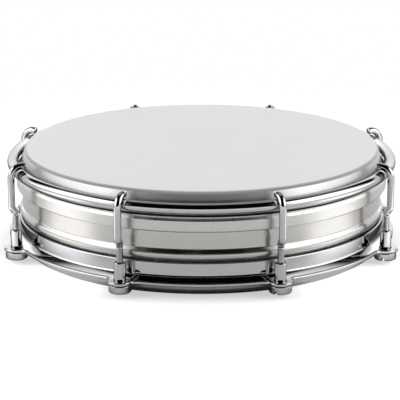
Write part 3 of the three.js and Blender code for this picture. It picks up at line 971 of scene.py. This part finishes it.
def hook_shape(size, head):
    """A hook in the radial plane of +X: bent rod, jog, and a rolled thread at the lower end."""
    shape = bmesh.new()
    line = [Vector((r, 0, z)) for r, z in hook_line(size, head)]
    radius = size.rod / 2
    turns = [tau * k / size.sides for k in range(size.sides)]
    side = Vector((0, 1, 0))
    rows = []
    for i, point in enumerate(line):
        ahead = (line[min(i + 1, len(line) - 1)] - line[max(i - 1, 0)]).normalized()
        out = side.cross(ahead)
        rows.append([point + (out * cos(turn) + side * sin(turn)) * radius for turn in turns])
    tip_way = (line[0] - line[1]).normalized()
    tip = [line[0] + (point - line[0]) * (1 - size.tip_chamfer / radius) for point in rows[0]]
    start = [point - tip_way * size.tip_chamfer for point in rows[0]]
    rod = [[shape.verts.new(point) for point in row] for row in (tip, start, *rows[2:])]
    join_rows(shape, rod, closed=False)
    shape.faces.new(rod[0])
    foot = line[-1].x
    coil = []
    for row in thread_rows(size):
        points = [(foot + reach * cos(turn), reach * sin(turn), z) for turn, reach, z in row]
        coil.append([shape.verts.new(point) for point in points])
    for low, high in zip(coil, coil[1:]):
        for k in range(size.sides - 1):
            shape.faces.new((low[k], low[k + 1], high[k + 1], high[k]))
    # The end of each row joins the start of the row one turn further up
    step = len(THREAD_FORM)
    ends = [coil[0]] * step + coil + [coil[-1]] * (step + 1)
    for low, high, next_low, next_high in zip(ends, ends[1:], ends[step:], ends[step + 1:]):
        add_face(shape, (low[-1], next_low[0], next_high[0], high[-1]))
    shape.faces.new(coil[0])
    half = size.sides // 2
    top = [coil[-1][(half - k) % size.sides] for k in range(size.sides)]
    join_rows(shape, [rod[-1], top], closed=False)
    bmesh.ops.remove_doubles(shape, verts=shape.verts, dist=THREAD_WELD)
    bmesh.ops.dissolve_degenerate(shape, edges=shape.edges, dist=THREAD_WELD)
    bmesh.ops.recalc_face_normals(shape, faces=shape.faces)
    return shape


class TAMBORIM_OT_hooks(Operator):
    """Sweeps the eight tension hooks over the counter hoop and down to the nuts"""

    bl_idname = "tamborim.add_hooks"
    bl_label = "Hooks"

    def execute(self, context):
        settings = context.scene.tamborim
        size = settings.hook
        finish = settings.finish
        mesh = to_mesh("hook_look", hook_shape(size, settings.head))
        smooth(mesh, chrome_plate("chrome_hook_look", finish))
        for k, place in enumerate(STATIONS, start=1):
            piece = show(f"hook_look_{k}", mesh)
            piece.rotation_euler.z = atan2(place.y, place.x)
            fit(piece, "head", f"hook_{k}")
        return {"FINISHED"}


class TAMBORIM_OT_nuts(Operator):
    """Turns the eight tube nuts and cuts their driver slots"""

    bl_idname = "tamborim.add_nuts"
    bl_label = "Tube nuts"

    def execute(self, context):
        settings = context.scene.tamborim
        size = settings.nut
        finish = settings.finish
        bore = size.bore / 2
        sleeve = size.sleeve / 2
        head = size.head / 2
        head_top = size.bottom + size.head_height
        edge = size.edge
        section = rounded([
            (bore, size.bottom, edge),
            (head, size.bottom, size.head_round),
            (head, head_top, size.head_break),
            (sleeve, head_top, edge),
            (sleeve, size.top - size.sleeve_chamfer, edge),
            (sleeve - size.sleeve_chamfer, size.top, edge),
            (bore, size.top, edge),
        ], closed=True)
        piece = show("nut_blank", to_mesh("nut_blank", turned(section, size.segments)))
        slot = bmesh.new()
        across = 3 * size.head  # past both sides
        block = Matrix.Diagonal((across, size.slot_width, 2 * size.slot_depth, 1))
        bmesh.ops.create_cube(slot, size=1.0, matrix=Matrix.Translation((0, 0, size.bottom)) @ block)
        cut(piece, show("driver_slot", to_mesh("driver_slot", slot)))
        mesh = piece.data
        bpy.data.objects.remove(piece)
        smooth(mesh, chrome_plate("chrome_nut_look", finish))
        for k, place in enumerate(STATIONS, start=1):
            piece = show(f"nut_look_{k}", mesh)
            piece.location = (place.x, place.y, 0)
            piece.rotation_euler.z = atan2(place.y, place.x) + size.slot_turns[k - 1]
            fit(piece, f"nut_{k}", f"tension_nut_{k}")
        return {"FINISHED"}


def pale_floor(studio):
    """Floor with the drum's contact shade on it, and a pool of light beyond each end.

    The shade has a lit gap at each side of the front. Gloss and glass show all of the shade, and the
    camera sees a faint part of it on a whiter floor. Further off the floor is an even white.
    """
    finish = Finish("floor_look")
    place = finish.node("NewGeometry").outputs["Position"]
    rays = finish.node("LightPath").outputs
    direct = rays["Is Camera Ray"]
    parts = finish.split(place)
    folded = {"X": finish.maths("ABSOLUTE", parts["X"]), "Y": parts["Y"]}
    either_side = finish.node("CombineXYZ", folded).outputs["Vector"]
    under = finish.vector("MULTIPLY", place, (studio.shade_squeeze, 1, 0))
    beside = finish.vector("SUBTRACT", either_side, studio.pool_place)
    squeezed = finish.vector("MULTIPLY", beside, (studio.pool_squeeze, 1, 0))
    gap = finish.fall(finish.measure("DISTANCE", either_side, studio.gap_place), *studio.gap)
    pool = finish.fall(finish.measure("LENGTH", squeezed), *studio.pool)
    near = finish.fall(finish.measure("LENGTH", place), *studio.floor_fade)
    covered = finish.fall(finish.measure("LENGTH", under), *studio.shade)
    shade = finish.maths("MULTIPLY", covered, finish.maths("SUBTRACT", 1.0, gap))
    unseen = studio.shade_depth * (1 - studio.shade_seen)
    depth = finish.maths("MULTIPLY_ADD", direct, unseen, -studio.shade_depth)
    clear = finish.maths("MULTIPLY_ADD", shade, depth, 1.0)
    grain = finish.shaded(finish.noise(place, scale=60.0), studio.floor, depth=0.01)
    seen = finish.maths("MAXIMUM", direct, rays["Is Glossy Ray"])
    seen = finish.maths("MAXIMUM", seen, rays["Is Transmission Ray"])
    lift = finish.maths("MULTIPLY", seen, studio.floor_lift)
    lift = finish.maths("MULTIPLY_ADD", direct, studio.floor_white, lift)
    light = finish.maths("MULTIPLY", lift, clear)
    light = finish.maths("MULTIPLY_ADD", gap, studio.gap_glow, light)
    light = finish.maths("MULTIPLY_ADD", pool, studio.pool_glow, light)
    finish.feed("Base Color", finish.scaled(grain, clear))
    finish.feed("Roughness", 1.0)
    finish.feed("Specular IOR Level", 0.0)
    finish.feed("Emission Color", WHITE)
    finish.feed("Emission Strength", light)
    white = finish.node("Emission", {"Color": WHITE, "Strength": 1.0}).outputs[0]
    mixed = finish.node("MixShader", {0: near, 1: white, 2: finish.shader.outputs[0]})
    finish.put(finish.tree.nodes["Material Output"].inputs["Surface"], mixed.outputs[0])
    return finish.material


def studio_room(studio):
    """A dark room with a white backdrop behind the drum, a grey ceiling and a white horizon all round."""
    world = bpy.data.worlds.new("studio_room")
    world.use_nodes = True
    room = Nodes(world.node_tree)
    way = room.node("TexCoord").outputs["Generated"]
    parts = room.split(way)
    climb = room.maths("ARCTAN2", parts["Z"], parts["Y"])
    behind = room.fall(climb, studio.backdrop, studio.backdrop + studio.blend)
    low = sin(studio.horizon)
    level = room.fall(parts["Z"], low, 2 * low)
    middle = (0, sin(studio.ceiling_tilt), cos(studio.ceiling_tilt))
    aside = room.maths("ARCCOSINE", room.measure("DOT_PRODUCT", way, middle))
    over = room.fall(aside, studio.ceiling_core, studio.ceiling_edge)
    grey = room.maths("MULTIPLY_ADD", over, studio.ceiling, studio.dark)
    white = room.maths("MAXIMUM", behind, level)
    background = room.tree.nodes["Background"].inputs
    room.put(background["Color"], WHITE)
    room.put(background["Strength"], room.maths("MAXIMUM", white, grey))
    return world


def softbox(name, size, power, soft_sides, soft_top):
    """A rectangular lamp that fades towards its sides and its top."""
    light = bpy.data.lights.new(name, "AREA")
    light.shape = "RECTANGLE"
    light.size, light.size_y = size
    light.energy = power
    light.use_nodes = True
    face = Nodes(light.node_tree)
    parts = face.split(face.node("NewGeometry").outputs["Parametric"])
    half = 0.5  # of the lamp's width, which counts as one
    off_centre = face.maths("ABSOLUTE", face.maths("SUBTRACT", parts["X"], half))
    sides = face.fall(off_centre, half * (1 - soft_sides), half)
    top = face.fall(parts["Y"], 1 - soft_top, 1.0)
    face.put(face.tree.nodes["Emission"].inputs["Strength"], face.maths("MULTIPLY", sides, top))
    lamp = show(name, light)
    lamp.visible_camera = False
    return lamp


class TAMBORIM_OT_stage(Operator):
    """Sets up the floor, the softboxes, the room and the camera"""

    bl_idname = "tamborim.add_stage"
    bl_label = "Stage"

    def execute(self, context):
        scene = context.scene
        studio = scene.tamborim.studio
        upright = pi / 2
        shape = bmesh.new()
        bmesh.ops.create_circle(shape, cap_ends=True, segments=FLOOR_STEPS, radius=studio.floor_radius)
        floor = show("floor", to_mesh("floor", shape))
        floor.data.materials.append(pale_floor(studio))
        for side, name in ((-1, "softbox_left"), (1, "softbox_right")):
            lamp = softbox(name, studio.box_size, studio.box_power, studio.box_soft, studio.box_soft_top)
            lamp.location = studio.box_place
            lamp.location.x *= side
            lamp.rotation_euler = (upright, 0, side * pi / 2)
        soft = studio.back_soft, studio.back_soft
        lamp = softbox("softbox_back", studio.back_size, studio.back_power, *soft)
        lamp.location = studio.back_place
        lamp.rotation_euler = (upright, 0, pi)
        soft = studio.over_soft, studio.over_soft
        lamp = softbox("softbox_over", studio.over_size, studio.over_power, *soft)
        lamp.location = studio.over_place
        lamp.rotation_euler = (atan2(studio.over_place.y, studio.over_place.z), 0, pi)
        lamp.visible_glossy = False
        scene.world = studio_room(studio)
        across = sin(studio.azimuth) * cos(studio.elevation)
        forward = cos(studio.azimuth) * cos(studio.elevation)
        way = Vector((across, -forward, sin(studio.elevation)))
        camera = show("camera", bpy.data.cameras.new("camera"))
        camera.data.lens = studio.lens
        camera.data.sensor_width = studio.sensor
        camera.location = studio.aim + way * studio.distance
        camera.rotation_euler = (-way).to_track_quat("-Z", "Y").to_euler()
        scene.camera = camera
        scene.view_settings.view_transform = "Standard"
        return {"FINISHED"}


class TAMBORIM_PT_panel(Panel):
    """Lists the drum's pieces and sizes"""

    bl_idname = "TAMBORIM_PT_panel"
    bl_label = "Tamborim"
    bl_space_type = "VIEW_3D"
    bl_region_type = "UI"
    bl_category = "Tamborim"

    def draw(self, context):
        settings = context.scene.tamborim
        for operator in OPERATORS:
            self.layout.operator(operator.bl_idname)
        for name in settings.__annotations__:
            group = getattr(settings, name)
            box = self.layout.box()
            box.label(text=name.capitalize())
            for key in group.__annotations__:
                box.prop(group, key)


GROUPS = (
    TAMBORIM_PG_shell,
    TAMBORIM_PG_head,
    TAMBORIM_PG_ring,
    TAMBORIM_PG_hook,
    TAMBORIM_PG_nut,
    TAMBORIM_PG_finish,
    TAMBORIM_PG_studio,
    TAMBORIM_PG_settings,  # last, because it holds the others
)
OPERATORS = (
    TAMBORIM_OT_shell,
    TAMBORIM_OT_ring,
    TAMBORIM_OT_film,
    TAMBORIM_OT_flesh_hoop,
    TAMBORIM_OT_counter_hoop,
    TAMBORIM_OT_hooks,
    TAMBORIM_OT_nuts,
    TAMBORIM_OT_stage,
)
CLASSES = (*GROUPS, *OPERATORS, TAMBORIM_PT_panel)


def register():
    for cls in CLASSES:
        bpy.utils.register_class(cls)
    bpy.types.Scene.tamborim = PointerProperty(type=TAMBORIM_PG_settings)


def unregister():
    del bpy.types.Scene.tamborim
    for cls in reversed(CLASSES):
        bpy.utils.unregister_class(cls)


def main():
    register()
    bpy.ops.tamborim.add_shell()
    bpy.ops.tamborim.add_ring()
    bpy.ops.tamborim.add_film()
    bpy.ops.tamborim.add_flesh_hoop()
    bpy.ops.tamborim.add_counter_hoop()
    bpy.ops.tamborim.add_hooks()
    bpy.ops.tamborim.add_nuts()
    bpy.ops.tamborim.add_stage()


if __name__ == "__main__":
    main()
